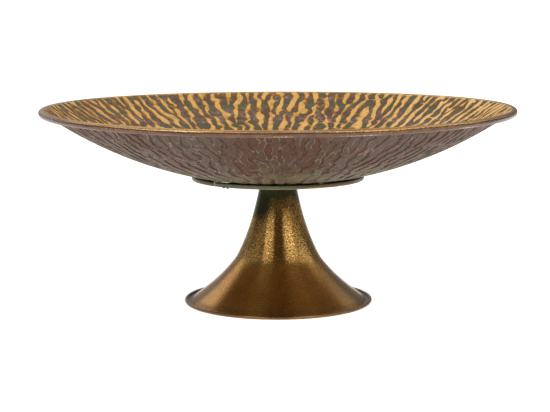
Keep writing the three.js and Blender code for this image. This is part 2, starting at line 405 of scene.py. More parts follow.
def turning_tree():
    """A tree that turns an outline mesh about +Z, with an uneven radius where Waver isn't 0."""
    on_axis = 0.01 * MM
    doubled = 0.002 * MM
    tree = bpy.data.node_groups.new("turn_outline", "GeometryNodeTree")
    node, calc = partial(add_node, tree), partial(math_node, tree)
    kinds = {"Outline": "Geometry", "Columns": "Int", "Waver": "Float", "Waver Scale": "Float",
             "Seed": "Float", "Finish": "Material"}
    for key, kind in kinds.items():
        tree.interface.new_socket(key, in_out="INPUT", socket_type=f"NodeSocket{kind}")
    tree.interface.new_socket("Turned", in_out="OUTPUT", socket_type="NodeSocketGeometry")
    given = node("NodeGroupInput").outputs
    size = node("GeometryNodeAttributeDomainSize", {0: given["Outline"]}, component="MESH")
    columns = calc("ADD", given["Columns"], 1)
    grid = node("GeometryNodeMeshGrid", {"Vertices X": size.outputs["Point Count"], "Vertices Y": columns})
    index = node("GeometryNodeInputIndex").outputs[0]
    point = calc("FLOOR", calc("DIVIDE", calc("ADD", index, 0.5), columns))
    column = calc("SUBTRACT", index, calc("MULTIPLY", point, columns))
    turn = calc("DIVIDE", calc("MULTIPLY", column, FULL_TURN), given["Columns"])
    position = node("GeometryNodeInputPosition").outputs[0]
    place = node("GeometryNodeSampleIndex", {0: given["Outline"], 1: position, "Index": point},
                 data_type="FLOAT_VECTOR")
    parts = node("ShaderNodeSeparateXYZ", {0: place.outputs[0]}).outputs
    cosine, sine = calc("COSINE", turn), calc("SINE", turn)
    around = node("ShaderNodeCombineXYZ", {0: cosine, 1: sine, 2: given["Seed"]}).outputs[0]
    clouds = node("ShaderNodeTexNoise", {"Vector": around, "Scale": given["Waver Scale"]})
    waver = calc("MULTIPLY", calc("SUBTRACT", clouds.outputs[0], 0.5), given["Waver"])
    radius = calc("ADD", parts[0], calc("MULTIPLY", waver, calc("GREATER_THAN", parts[0], on_axis)))
    turned = {0: calc("MULTIPLY", radius, cosine), 1: calc("MULTIPLY", radius, sine), 2: parts[2]}
    position = node("ShaderNodeCombineXYZ", turned).outputs[0]
    moved = node("GeometryNodeSetPosition", {0: grid.outputs[0], "Position": position})
    named = node("GeometryNodeInputNamedAttribute", {"Name": "along"}, data_type="FLOAT")
    along = node("GeometryNodeSampleIndex", {0: given["Outline"], 1: named.outputs[0], "Index": point},
                 data_type="FLOAT")
    stored = node("GeometryNodeStoreNamedAttribute",
                  {0: moved.outputs[0], "Name": "along", "Value": along.outputs[0]}, data_type="FLOAT")
    merged = node("GeometryNodeMergeByDistance", {0: stored.outputs[0], "Distance": doubled})
    real = node("GeometryNodeRealizeInstances", {0: merged.outputs[0]})
    painted = node("GeometryNodeSetMaterial", {0: real.outputs[0], "Material": given["Finish"]})
    node("NodeGroupOutput", {0: painted.outputs[0]})
    return tree


def turned_piece(name, tree, outline, material, columns=360, waver=0.0, waver_scale=1.0, seed=0.0,
                 closed=True, marks=None):
    """A piece turned from outline points (radius, height). Its along attribute runs 0 to 1 down the
    outline, or holds the marks given for its points."""
    points = list(outline) + ([outline[0]] if closed else [])
    mesh = bpy.data.meshes.new(name)
    edges = [(i, i + 1) for i in range(len(points) - 1)]
    mesh.from_pydata([(radius, 0, height) for radius, height in points], edges, [])
    along = np.linspace(0, 1, len(points)) if marks is None else [*marks, marks[0]][:len(points)]
    mesh.attributes.new("along", "FLOAT", "POINT").data.foreach_set("value", along)
    piece = new_piece(name, mesh)
    turn = piece.modifiers.new("turn", "NODES")
    turn.node_group = tree
    sockets = {item.name: item.identifier for item in tree.interface.items_tree if item.in_out == "INPUT"}
    inputs = {"Columns": columns, "Waver": waver, "Waver Scale": waver_scale, "Seed": seed,
              "Finish": material}
    for key, value in inputs.items():
        turn[sockets[key]] = value
    plain_mesh(piece)
    face_outwards(piece)
    finish_mesh(piece)
    return piece


# Shader node groups

def shader_group(name, inputs, outputs):
    """An empty node group with named inputs (with defaults) and outputs, and its two end nodes."""
    tree = bpy.data.node_groups.new(name, "ShaderNodeTree")
    for key, value in inputs.items():
        kind = "NodeSocketVector" if isinstance(value, tuple) else "NodeSocketFloat"
        socket = tree.interface.new_socket(key, in_out="INPUT", socket_type=kind)
        socket.default_value = value
    for key in outputs:
        tree.interface.new_socket(key, in_out="OUTPUT", socket_type="NodeSocketFloat")
    return tree, tree.nodes.new("NodeGroupInput").outputs, tree.nodes.new("NodeGroupOutput").inputs


def mottle_group():
    """Cloudy patches: a mask from noise in the piece's own space, between Low and High."""
    tree, given, result = shader_group(
        "mottle", {"Scale": 100.0, "Detail": 3.0, "Low": 0.4, "High": 0.6, "Seed": 0.0,
                   "Stretch": (1.0, 1.0, 1.0)}, ["Mask"])
    place = add_node(tree, "ShaderNodeTexCoord").outputs["Object"]
    stretched = add_node(tree, "ShaderNodeVectorMath", {0: place, 1: given["Stretch"]}, operation="MULTIPLY")
    clouds = add_node(tree, "ShaderNodeTexNoise",
                      {"Vector": stretched.outputs[0], "W": given["Seed"], "Scale": given["Scale"],
                       "Detail": given["Detail"]}, noise_dimensions="4D")
    ramp = add_node(tree, "ShaderNodeMapRange",
                    {"Value": clouds.outputs[0], "From Min": given["Low"], "From Max": given["High"]},
                    interpolation_type="SMOOTHSTEP")
    tree.links.new(ramp.outputs[0], result["Mask"])
    return tree


def pit_group():
    """Small irregular pits: a mask of specks of a Size, in a Share of the cells."""
    tree, given, result = shader_group(
        "pits", {"Scale": 800.0, "Size": 0.3, "Share": 0.4, "Seed": 0.0}, ["Mask"])
    place = add_node(tree, "ShaderNodeTexCoord").outputs["Object"]
    cells = add_node(tree, "ShaderNodeTexVoronoi",
                     {"Vector": place, "W": given["Seed"], "Scale": given["Scale"]}, voronoi_dimensions="4D")
    parts = add_node(tree, "ShaderNodeSeparateColor", {0: cells.outputs["Color"]}).outputs
    reach = math_node(tree, "MULTIPLY", given["Size"], math_node(tree, "ADD", 0.5, parts[1]))
    inside = math_node(tree, "SUBTRACT", 1, math_node(tree, "DIVIDE", cells.outputs["Distance"], reach))
    shaped = add_node(tree, "ShaderNodeMapRange", {"Value": inside, "From Min": 0.0, "From Max": 0.5},
                      interpolation_type="SMOOTHSTEP").outputs[0]
    chosen = math_node(tree, "LESS_THAN", parts[0], given["Share"])
    tree.links.new(math_node(tree, "MULTIPLY", shaped, chosen), result["Mask"])
    return tree


class Finish:
    """A material being built: a Principled shader with helpers that place groups and mix colours."""

    def __init__(self, name, metallic=0.5, specular=0.5):
        self.material = bpy.data.materials.new(name)
        self.material.use_nodes = True
        self.tree = self.material.node_tree
        self.shader = self.tree.nodes["Principled BSDF"]
        self.shader.inputs["Metallic"].default_value = metallic
        self.shader.inputs["Specular IOR Level"].default_value = specular

    def group(self, tree, **values):
        """What a node group gives for its inputs, values or sockets."""
        inputs = {key.title(): value for key, value in values.items()}
        return add_node(self.tree, "ShaderNodeGroup", inputs, node_tree=tree).outputs[0]

    def mottle(self, scale, low, high, seed, detail=3.0, stretch=(1.0, 1.0, 1.0)):
        """Patches, a scale of them to a metre: 0 where the noise is low and 1 where it is high."""
        return self.group(MOTTLE, scale=scale, low=low, high=high, seed=seed, detail=detail, stretch=stretch)

    def pits(self, scale, size, share, seed):
        """Specks of a size in a share of the cells, with a scale of cells to a metre."""
        return self.group(PITS, scale=scale, size=size, share=share, seed=seed)

    def attribute(self, name):
        return add_node(self.tree, "ShaderNodeAttribute", attribute_name=name).outputs["Fac"]

    def place(self):
        return add_node(self.tree, "ShaderNodeTexCoord").outputs["Object"]

    def coordinate(self, axis):
        """X runs to the photograph's right, Y away from the camera and Z up."""
        return add_node(self.tree, "ShaderNodeSeparateXYZ", {0: self.place()}).outputs[axis]

    def radius(self):
        """Distance from the turning axis."""
        parts = add_node(self.tree, "ShaderNodeSeparateXYZ", {0: self.place()}).outputs
        flat = add_node(self.tree, "ShaderNodeCombineXYZ", {0: parts["X"], 1: parts["Y"]}).outputs[0]
        return add_node(self.tree, "ShaderNodeVectorMath", {0: flat}, operation="LENGTH").outputs["Value"]

    def math(self, operation, *values):
        return math_node(self.tree, operation, *values)

    def sum(self, value, *others):
        for other in others:
            value = self.math("ADD", value, other)
        return value

    def times(self, value, *others):
        """A mask held back by others, or a value scaled by an amount."""
        for other in others:
            value = self.math("MULTIPLY", value, other)
        return value

    def spread(self, value, amount):
        """A value from 0 to 1 spread evenly about 0."""
        return self.times(self.math("SUBTRACT", value, 0.5), amount)

    def ramp(self, value, start, end):
        """0 before the start and 1 past the end, which may lie below it."""
        return add_node(self.tree, "ShaderNodeMapRange",
                        {"Value": value, "From Min": start, "From Max": end},
                        interpolation_type="SMOOTHSTEP").outputs[0]

    def band(self, value, limits):
        """A mask that opens between the first two limits and closes between the last two."""
        opened, full, closing, closed = limits
        return self.times(self.ramp(value, opened, full), self.ramp(value, closed, closing))

    def scaled(self, value, low, high):
        """A value from 0 to 1, carried over to the range from low to high."""
        return add_node(self.tree, "ShaderNodeMapRange",
                        {"Value": value, "To Min": low, "To Max": high}).outputs[0]

    def mix(self, mask, *colours):
        """A colour between two colours, each a tuple or a socket."""
        first, second = ((*colour, 1) if isinstance(colour, tuple) else colour for colour in colours)
        inputs = {0: mask, 6: first, 7: second}
        return add_node(self.tree, "ShaderNodeMix", inputs, data_type="RGBA").outputs[2]

    def over(self, base, colour, *masks):
        """A colour laid over a base where all the masks are open."""
        return self.mix(self.times(*masks), base, colour)

    def set(self, socket, value):
        self.tree.links.new(value, self.shader.inputs[socket])

    def bump(self, height, distance):
        made = add_node(self.tree, "ShaderNodeBump", {"Height": height, "Distance": distance})
        self.set("Normal", made.outputs[0])


MOTTLE = mottle_group()
PITS = pit_group()

# Finishes

GOLD_BRIGHT = (0.90, 0.50, 0.115)
GOLD_DEEP = (0.62, 0.31, 0.065)
# pale gold: a painted highlight on the ridges' crests, and the painted light at the right
PAINTED_GOLD_HIGHLIGHT = (0.97, 0.62, 0.22)
RIDGE_BROWN = (0.34, 0.165, 0.058)
TEAL = (0.118, 0.158, 0.102)
TEAL_PALE = (0.23, 0.27, 0.20)
MAUVE = (0.208, 0.137, 0.086)
UMBER = (0.050, 0.032, 0.018)
BROWN_PATINA = (0.158, 0.084, 0.053)
GREY_PATINA = (0.168, 0.112, 0.080)
OLIVE_PATINA_AND_PAINTED_LIGHT = (0.275, 0.245, 0.142)
RED_PATINA_AND_PAINTED_SHADE = (0.170, 0.070, 0.042)
WORN_EDGE_AND_PAINTED_HIGHLIGHT = (0.42, 0.32, 0.25)
RIM_GOLD = (0.66, 0.38, 0.12)
RIM_BROWN = (0.21, 0.105, 0.062)
RIM_GREY_REFLECTION = (0.37, 0.30, 0.235)
# cream: painted highlights and glints on the roll
CREAM_HIGHLIGHT = (0.85, 0.68, 0.42)
BRASS = (0.545, 0.322, 0.087)
BRASS_AGED = (0.425, 0.237, 0.061)
BRASS_WORN_AND_SPARKLE = (0.80, 0.58, 0.25)
BRASS_DARK = (0.22, 0.100, 0.028)
FOOT_BROWN = (0.440, 0.195, 0.046)
PIT_DARK = (0.070, 0.030, 0.012)
NECK_GREEN = (0.055, 0.066, 0.032)
FLANGE_BROWN = (0.125, 0.066, 0.020)
HEM_COPPER = (0.23, 0.125, 0.055)
PLATE_GREEN = (0.150, 0.195, 0.115)
PLATE_OLIVE = (0.225, 0.200, 0.110)
PLATE_BROWN = (0.145, 0.098, 0.046)
COPPER_EDGE = (0.50, 0.27, 0.12)
SOLDER_AND_GLINT = (0.68, 0.62, 0.47)
BRAZE_DARK = (0.13, 0.115, 0.080)
BRAZE_BROWN = (0.26, 0.21, 0.15)
IRON_GREY = (0.10, 0.09, 0.08)
IRON_BROWN = (0.17, 0.12, 0.09)

# Places on the bowl: a pair is where a change starts and ends, and limits of four open and close a band
# Painted light: towards the right the gold is wider and paler, as that side is more brightly lit
RIGHT_PAINTED_LIGHT = (70 * MM, 160 * MM)  # towards the right
THIN_GOLD = (-60 * MM, -150 * MM)  # towards the left
OLIVE_HEIGHTS = (140 * MM, 118 * MM)
OLIVE_WAVER = 14 * MM
GROOVE_SHADE = (-0.06, 0.10, 0.20, 0.45)  # levels of the ridge field
GROOVE_EDGE_HIGHLIGHT = (-0.70, -0.42, -0.20, -0.02)

# Places on the rolled rim, in degrees round the roll and in metres towards the right
GILT_ANGLES = (17, 25)
SPECK_ANGLES = (-25, -5)
GROOVE_ANGLES = (34, 38, 44, 50)
HIGHLIGHT_ANGLES = (22, 26, 31, 36)
SHADE_LINE_ANGLES = (-12, 2, 12, 20)
GLINT_ANGLES = (-68, -58, -48, -38)
WORN_RIM_END = (-150 * MM, -185 * MM)
DULL_RIM_END = (150 * MM, 185 * MM)
REFLECTING_RIM_ENDS = (160 * MM, 195 * MM)

# Places on the pedestal
WEAR_AND_SPARKLE_HEIGHTS = (32 * MM, 46 * MM)
FOOT_HEIGHTS = (40 * MM, 31 * MM)
GREEN_HEIGHTS = (79 * MM, 92 * MM)
GREEN_WAVER = 8 * MM
GREEN_DROP = 11 * MM  # how much lower the green comes on the left
GREEN_LEFT = (-4 * MM, -15 * MM)
FLANGE_RADII = (69 * MM, 73 * MM)
HEM_CREASE = FOOT_RADIUS - 2 * FOOT_HEM_RADIUS
CREASE_SHADE_RADII = (HEM_CREASE - 1.2 * MM, HEM_CREASE - 0.2 * MM, HEM_CREASE + 0.1 * MM, HEM_CREASE + 0.8 * MM)
HEM_RADII = (HEM_CREASE + 0.5 * MM, HEM_CREASE + 1.1 * MM)
BRUSHED_GRAIN = (1.0, 1.0, 1.7)  # how much flatter than wide a pattern's patches are
FINE_LINES = (1.0, 1.0, 4.0)
FLAT_GRAIN = (1.0, 1.0, 18.0)

# Places on the plate
BROWN_PLATE_RIGHT = (-4 * MM, 26 * MM)
BROWN_PLATE_LEFT = (-44 * MM, -58 * MM)
RUBBED_PLATE = (-30 * MM, 30 * MM)
RUBBED_HEIGHT = 0.9 * MM
RUBBED_BLEND = 0.3 * MM
RUBBED_RADII = (PLATE_RADIUS - 7 * MM, PLATE_RADIUS - 1.5 * MM)


def gilded_relief():
    """Inside of the bowl: gold rubbed on the ridges over blue-green and brown hollows.

    The gold is wider and paler at the right, painted light for that side's brighter lighting, narrower at the
    left, and in specks on the flat floor. The crests carry a painted highlight, and the feet of the ridges a
    painted shade."""
    make = Finish("gilded_relief", specular=0.15)
    side = make.coordinate("X")
    # Painted light: wider, paler gold towards the right
    right_painted_light = make.ramp(side, *RIGHT_PAINTED_LIGHT)
    uneven = make.spread(make.mottle(420, 0.2, 0.8, 1), 0.24)
    speck = make.spread(make.mottle(1500, 0.2, 0.8, 2), 0.12)
    lean = make.times(make.math("SUBTRACT", right_painted_light, make.ramp(side, *THIN_GOLD)), 0.15)
    floor = make.ramp(make.radius(), RELIEF_START + TIP_LENGTH, RELIEF_START)
    rubbed = make.times(make.mottle(420, 0.54, 0.66, 49), make.mottle(34, 0.46, 0.62, 50), floor, 0.85)
    level = make.sum(make.attribute("ridge"), uneven, speck, lean, rubbed)

    gold = make.mix(make.mottle(140, 0.35, 0.65, 3), GOLD_DEEP, GOLD_BRIGHT)
    # Painted highlight: paler gold on the ridges' crests
    crest_highlight = make.times(make.ramp(level, 0.30, 0.60), make.mottle(260, 0.35, 0.6, 9))
    gold = make.mix(make.sum(make.times(crest_highlight, 0.5), make.times(right_painted_light, 0.7)), gold, PAINTED_GOLD_HIGHLIGHT)
    gold = make.over(gold, RIDGE_BROWN, make.pits(900, 0.3, 0.35, 4), 0.35)

    clouds = make.times(make.spread(make.mottle(30, 0.40, 0.60, 55), 2.0), floor)
    tint = make.sum(make.attribute("tint"), make.spread(make.mottle(300, 0.2, 0.8, 5), 1.6), clouds)
    hollow = make.mix(make.ramp(tint, -0.25, 0.40), TEAL, MAUVE)
    hollow = make.over(hollow, TEAL_PALE, make.mottle(480, 0.52, 0.72, 6), 0.5)
    hollow = make.over(hollow, UMBER, make.mottle(700, 0.45, 0.7, 7), 0.35)
    # Painted shade: darker where the hollows meet the ridges, lighter in the hollows' middles
    hollow = make.over(hollow, UMBER, make.ramp(level, -0.85, -0.35), 0.45)
    flank = make.mix(make.ramp(level, -0.56, -0.22), hollow, RIDGE_BROWN)

    gilt = make.ramp(level, 0.02, 0.28)
    make.set("Base Color", make.mix(gilt, flank, gold))
    make.set("Metallic", make.scaled(gilt, 0.15, 0.55))
    make.set("Roughness", make.scaled(gilt, 0.62, 0.40))
    grain = make.times(make.mottle(900, 0.3, 0.7, 8), 0.12)
    make.bump(make.sum(make.ramp(level, -0.3, 0.12), grain), 0.5 * MM)
    return make.material


def brown_relief():
    """Outside of the bowl: brown and grey patina, reddish in the grooves partly as painted shade, and olive
    near the plate, paler there partly as painted light from the floor below.

    Each groove has a pale edge, partly wear and partly painted highlight, and here and there a dark line of
    painted shade along its middle."""
    make = Finish("brown_relief", specular=0.1)
    level = make.sum(make.attribute("ridge"), make.spread(make.mottle(300, 0.2, 0.8, 11), 0.30))
    height = make.sum(make.coordinate("Z"), make.times(make.mottle(60, 0.3, 0.7, 12), OLIVE_WAVER))

    skin = make.mix(make.mottle(30, 0.42, 0.62, 19), BROWN_PATINA, GREY_PATINA)
    # Olive patina towards the plate, paler partly as painted light from the floor below
    skin = make.mix(make.ramp(height, *OLIVE_HEIGHTS), skin, OLIVE_PATINA_AND_PAINTED_LIGHT)
    # Red-brown patina patches that fill the grooves, partly real patina and partly painted shade
    skin = make.over(skin, RED_PATINA_AND_PAINTED_SHADE, make.mottle(42, 0.48, 0.60, 13), make.ramp(level, -0.4, 0.1), 0.9)
    skin = make.over(skin, UMBER, make.mottle(260, 0.42, 0.7, 14), 0.22)
    skin = make.over(skin, WORN_EDGE_AND_PAINTED_HIGHLIGHT, make.mottle(900, 0.5, 0.7, 15), 0.2)
    # Painted shade: a dark line along the middle of some grooves
    skin = make.over(skin, UMBER, make.band(level, GROOVE_SHADE), make.mottle(50, 0.40, 0.60, 20), 0.4)
    # Painted highlight, partly wear: a pale line along each groove's edge
    skin = make.over(skin, WORN_EDGE_AND_PAINTED_HIGHLIGHT, make.band(level, GROOVE_EDGE_HIGHLIGHT), make.mottle(70, 0.40, 0.60, 10), 0.88)

    make.set("Base Color", skin)
    make.set("Metallic", make.scaled(make.mottle(200, 0.3, 0.7, 16), 0.2, 0.45))
    make.set("Roughness", make.scaled(make.mottle(500, 0.3, 0.7, 17), 0.44, 0.60))
    grain = make.times(make.mottle(900, 0.3, 0.7, 18), 0.08)
    make.bump(make.sum(make.ramp(level, 0.06, -0.26), grain), 0.9 * MM)
    return make.material


def rolled_rim_finish():
    """Rolled rim: gold over its inner side and top, worn to brown on its outer side. It carries a painted
    highlight line, painted glints, a painted shade line and pale painted reflections at its ends.

    The along attribute is the angle round the roll in degrees: 90 on top, 0 outermost."""
    make = Finish("rolled_rim_finish")
    drift = make.spread(make.mottle(9, 0.3, 0.7, 21), 26)
    uneven = make.spread(make.mottle(520, 0.2, 0.8, 22), 14)
    angle = make.sum(make.attribute("along"), drift, uneven)
    side = make.coordinate("X")

    specks = make.times(make.mottle(1300, 0.52, 0.62, 25), make.mottle(16, 0.45, 0.58, 28))
    specks = make.times(specks, make.ramp(angle, *SPECK_ANGLES))
    kept = make.math("SUBTRACT", 1, make.times(make.ramp(side, *WORN_RIM_END), 0.85))
    gilt = make.times(make.math("MAXIMUM", make.ramp(angle, *GILT_ANGLES), specks), kept)

    gold = make.mix(make.mottle(420, 0.35, 0.65, 23), GOLD_DEEP, RIM_GOLD)
    gold = make.over(gold, RIDGE_BROWN, make.mottle(900, 0.52, 0.66, 27), 0.7)
    gold = make.over(gold, RIDGE_BROWN, make.mottle(11, 0.46, 0.60, 47), 0.6)
    gold = make.over(gold, RIM_BROWN, make.ramp(side, *DULL_RIM_END), 0.35)
    faint = make.scaled(make.mottle(12, 0.4, 0.6, 45), 0.2, 0.9)
    gold = make.over(gold, RIM_BROWN, make.band(angle, GROOVE_ANGLES), faint)
    # Painted highlight: a broken cream line a little above the roll's outermost side
    broken_highlight = make.mottle(14, 0.40, 0.52, 48)
    gold = make.over(gold, CREAM_HIGHLIGHT, make.band(angle, HIGHLIGHT_ANGLES), broken_highlight, make.mottle(700, 0.35, 0.5, 46))

    brown = make.mix(make.mottle(120, 0.4, 0.6, 24), RIM_BROWN, BROWN_PATINA)
    # Painted reflection: the roll turns pale grey towards its far left and right ends
    brown = make.mix(make.ramp(make.math("ABSOLUTE", side), *REFLECTING_RIM_ENDS), brown, RIM_GREY_REFLECTION)
    # Painted shade: a dark line round the roll's outermost side
    brown = make.over(brown, UMBER, make.band(angle, SHADE_LINE_ANGLES), 0.7)
    # Painted glints: cream specks low on the roll's outer side
    glints = make.times(make.mottle(20, 0.5, 0.6, 30), make.mottle(900, 0.45, 0.55, 29))
    brown = make.over(brown, CREAM_HIGHLIGHT, make.band(angle, GLINT_ANGLES), glints)

    make.set("Base Color", make.mix(gilt, brown, gold))
    make.set("Metallic", make.scaled(gilt, 0.5, 0.95))
    make.set("Roughness", make.scaled(gilt, 0.34, 0.22))
    make.bump(make.mottle(1200, 0.3, 0.7, 26), 0.10 * MM)
    return make.material


def spun_brass():
    """Pedestal: antique brass speckled partly by wear and partly as painted sparkle, greened at the neck,
    browner and smoother on the foot.

    Its spinning lines run round it, so they stretch highlights upright."""
    make = Finish("spun_brass")
    make.shader.inputs["Anisotropic"].default_value = 0.85
    make.shader.inputs["Anisotropic Rotation"].default_value = 0.25
    height = make.coordinate("Z")
    radius = make.radius()
    # Wear and painted sparkle: the speckle is full up the flare, where highlights fall, and fainter on the
    # foot
    worn = make.scaled(make.ramp(height, *WEAR_AND_SPARKLE_HEIGHTS), 0.35, 1.0)
    foot = make.ramp(height, *FOOT_HEIGHTS)

    brass = make.mix(make.mottle(45, 0.35, 0.65, 31), BRASS, BRASS_AGED)
    lines = make.mottle(90, 0.46, 0.64, 33, 2.0, FLAT_GRAIN)
    brass = make.over(brass, BRASS_DARK, lines, 0.3)
    brass = make.over(brass, FOOT_BROWN, foot, 0.6)
    streaks = make.mottle(620, 0.46, 0.58, 32, 3.0, BRUSHED_GRAIN)
    brass = make.over(brass, BRASS_DARK, streaks, worn, 0.85)
    flecks = make.mottle(800, 0.55, 0.64, 34, 2.0, BRUSHED_GRAIN)
    brass = make.over(brass, BRASS_WORN_AND_SPARKLE, flecks, worn, 0.75)
    brass = make.over(brass, PIT_DARK, make.pits(620, 0.26, 0.22, 35), worn, 0.85)

    lower_left = make.times(make.ramp(make.coordinate("X"), *GREEN_LEFT), GREEN_DROP)
    green = make.sum(height, make.spread(make.mottle(60, 0.3, 0.7, 36), GREEN_WAVER), lower_left)
    brass = make.over(brass, NECK_GREEN, make.ramp(green, *GREEN_HEIGHTS), 0.95)
    patches = make.scaled(make.mottle(80, 0.3, 0.6, 39), 0.3, 0.6)
    flange = make.times(make.ramp(radius, *FLANGE_RADII), patches)
    brass = make.over(brass, FLANGE_BROWN, flange)
    # Painted shade: a dark line in the crease between the flange and the hem
    brass = make.over(brass, UMBER, make.band(radius, CREASE_SHADE_RADII))
    rubbed = make.scaled(make.mottle(260, 0.35, 0.6, 40), 0.3, 0.9)
    brass = make.over(brass, HEM_COPPER, make.ramp(radius, *HEM_RADII), rubbed)

    make.set("Base Color", brass)
    make.set("Metallic", make.scaled(flange, 1.0, 0.9))
    rough = make.math("MAXIMUM", make.scaled(foot, 0.19, 0.24), make.scaled(flange, 0.19, 0.42))
    make.set("Roughness", rough)
    make.bump(make.mottle(620, 0.3, 0.7, 38, 3.0, FINE_LINES), 0.025 * MM)
    return make.material


def greened_plate():
    """Support plate: green and olive patina, brown at its ends, rubbed coppery along its lower edge."""
    make = Finish("greened_plate")
    side = make.coordinate("X")
    green = make.mix(make.mottle(90, 0.4, 0.6, 41), PLATE_GREEN, PLATE_OLIVE)
    green = make.over(green, UMBER, make.mottle(500, 0.5, 0.7, 42), 0.5)
    browned = make.sum(make.ramp(side, *BROWN_PLATE_RIGHT), make.ramp(side, *BROWN_PLATE_LEFT))
    green = make.over(green, PLATE_BROWN, browned, 0.85)

    rubbed = make.scaled(make.ramp(side, *RUBBED_PLATE), 0.2, 1.6)
    uneven = make.times(make.mottle(40, 0.35, 0.65, 43), rubbed, RUBBED_HEIGHT)
    edge = make.math("SUBTRACT", make.coordinate("Z"), uneven)
    worn = make.ramp(edge, PLATE_BOTTOM + RUBBED_BLEND, PLATE_BOTTOM - RUBBED_BLEND)
    worn = make.times(worn, make.ramp(make.radius(), *RUBBED_RADII))

    make.set("Base Color", make.mix(worn, green, COPPER_EDGE))
    make.set("Metallic", make.scaled(worn, 0.4, 0.9))
    make.set("Roughness", make.scaled(make.mottle(400, 0.3, 0.7, 44), 0.3, 0.5))
    make.bump(make.mottle(700, 0.3, 0.7, 45), 0.08 * MM)
    return make.material


def braze_finish():
    """Brown, partly greened braze."""
    make = Finish("braze_finish", metallic=0.7)
    skin = make.mix(make.mottle(300, 0.4, 0.6, 51), BRAZE_DARK, BRAZE_BROWN)
    skin = make.over(skin, PLATE_GREEN, make.mottle(900, 0.5, 0.7, 52), 0.6)
    make.set("Base Color", skin)
    make.set("Roughness", make.scaled(make.mottle(600, 0.3, 0.7, 53), 0.22, 0.45))
    make.bump(make.mottle(900, 0.3, 0.7, 54), 0.1 * MM)
    return make.material


def iron_finish():
    """Dull drawn wire, browned in patches."""
    make = Finish("iron_finish", metallic=0.9)
    make.set("Base Color", make.mix(make.mottle(500, 0.4, 0.6, 61), IRON_GREY, IRON_BROWN))
    make.set("Roughness", make.scaled(make.mottle(700, 0.3, 0.7, 62), 0.4, 0.6))
    make.bump(make.mottle(900, 0.3, 0.7, 63), 0.05 * MM)
    return make.material


def solder_and_glint_finish():
    """Bright solder, dulled in patches: partly the solder's own colour and partly a painted glint."""
    make = Finish("solder_and_glint_finish", metallic=0.8)
    make.set("Base Color", make.mix(make.mottle(300, 0.5, 0.7, 71), SOLDER_AND_GLINT, BROWN_PATINA))
    make.set("Roughness", make.scaled(make.mottle(600, 0.3, 0.7, 72), 0.25, 0.5))
    make.bump(make.mottle(700, 0.3, 0.7, 73), 0.08 * MM)
    return make.material


# Pieces

def dish_rings(face_columns, radii, inset, relief, depth, shift):
    """Rings of points over one face of the sheet, with the ridge field and tint at each point. The field
    is lowered by a shift. Without relief the rings are plain."""
    rings, marks = [], []
    for columns, radius in zip(face_columns, radii):
        angle = np.arange(columns) * FULL_TURN / columns
        ridge, tint = np.full(columns, FLOOR_RIDGE), np.zeros(columns)
        if relief and radius >= RELIEF_START:
            ridge, tint = relief.at(np.full(columns, radius), angle)
            grown = smooth_step(RELIEF_START, RELIEF_START + TIP_LENGTH, radius)
            ridge = FLOOR_RIDGE + (ridge - shift - FLOOR_RIDGE) * grown
            tint = tint * grown
        height = bowl_height(max(radius, BOWL_FLAT_RADIUS), inset) + np.zeros(columns)
        if relief:
            height += relief.rise(radius, ridge, depth)
        rings.append(np.column_stack([radius * np.cos(angle), radius * np.sin(angle), height]))
        marks.append(np.column_stack([ridge, tint]))
    return rings, marks


def dish_radii(end):
    """Radii of the rings on a pressed face, which stand close where the relief is."""
    floor = np.linspace(6 * MM, 46 * MM, 6)
    floor_edge = np.array([BOWL_FLAT_RADIUS - 2 * MM, BOWL_FLAT_RADIUS, RELIEF_START])
    inside = np.linspace(RELIEF_START + 2 * MM, COARSE_REACH - 1 * MM, 27)
    outside = np.linspace(COARSE_REACH + 1 * MM, end, 55)
    return np.concatenate([floor, floor_edge, inside, outside])


def dish_columns(radius):
    """Columns of a ring, halved three times on the way to the middle."""
    limits = (COARSE_REACH, 60 * MM, 24 * MM)
    return WALL_COLUMNS // 2 ** sum(radius <= limit for limit in limits)


def dish_half(name, inset, end, relief, depth, shift, material):
    """Half of the sheet's thickness: one pressed face, closed by a plain face in the middle of the sheet."""
    radii = dish_radii(end)
    pressed, marks = dish_rings([dish_columns(r) for r in radii], radii, inset, relief, depth, shift)
    back_radii = np.array([end, 0.9 * end, 0.7 * end, 0.5 * end, BOWL_FLAT_RADIUS, BOWL_FLAT_RADIUS / 2])
    back_columns = [WALL_COLUMNS // share for share in (1, 2, 4, 8, 8, 8)]
    back, back_marks = dish_rings(back_columns, back_radii, BOWL_SHEET / 2, None, 0, 0)
    centres = [np.array([[0, 0, bowl_height(BOWL_FLAT_RADIUS, level)]]) for level in (inset, BOWL_SHEET / 2)]
    rings = [centres[0], *pressed, *back, centres[1]]
    flat = np.array([[FLOOR_RIDGE, 0]])
    mesh = bpy.data.meshes.new(name)
    mesh.from_pydata(np.concatenate(rings), [], ring_skin(rings))
    values = np.concatenate([flat, *marks, *back_marks, flat]).astype(np.float32)
    for key, column in zip(("ridge", "tint"), values.T):
        mesh.attributes.new(key, "FLOAT", "POINT").data.foreach_set("value", np.ascontiguousarray(column))
    piece = new_piece(name, mesh, material)
    face_outwards(piece)
    warp_rim(piece)
    finish_mesh(piece, 60)
    settle(piece, "bowl_patina", "bowl_shell")


def embossed_dish(inside_finish, outside_finish):
    """The pressed sheet: flat floor and curved wall, both faces following one relief."""
    relief = Relief()
    dish_half("gilded_inside", BOWL_SHEET, WALL_END_RADIUS, relief, DEPTH_INSIDE, 0, inside_finish)
    dish_half("patinated_outside", 0, WALL_UNDER_END, relief, DEPTH_OUTSIDE, GROOVE_SHIFT, outside_finish)


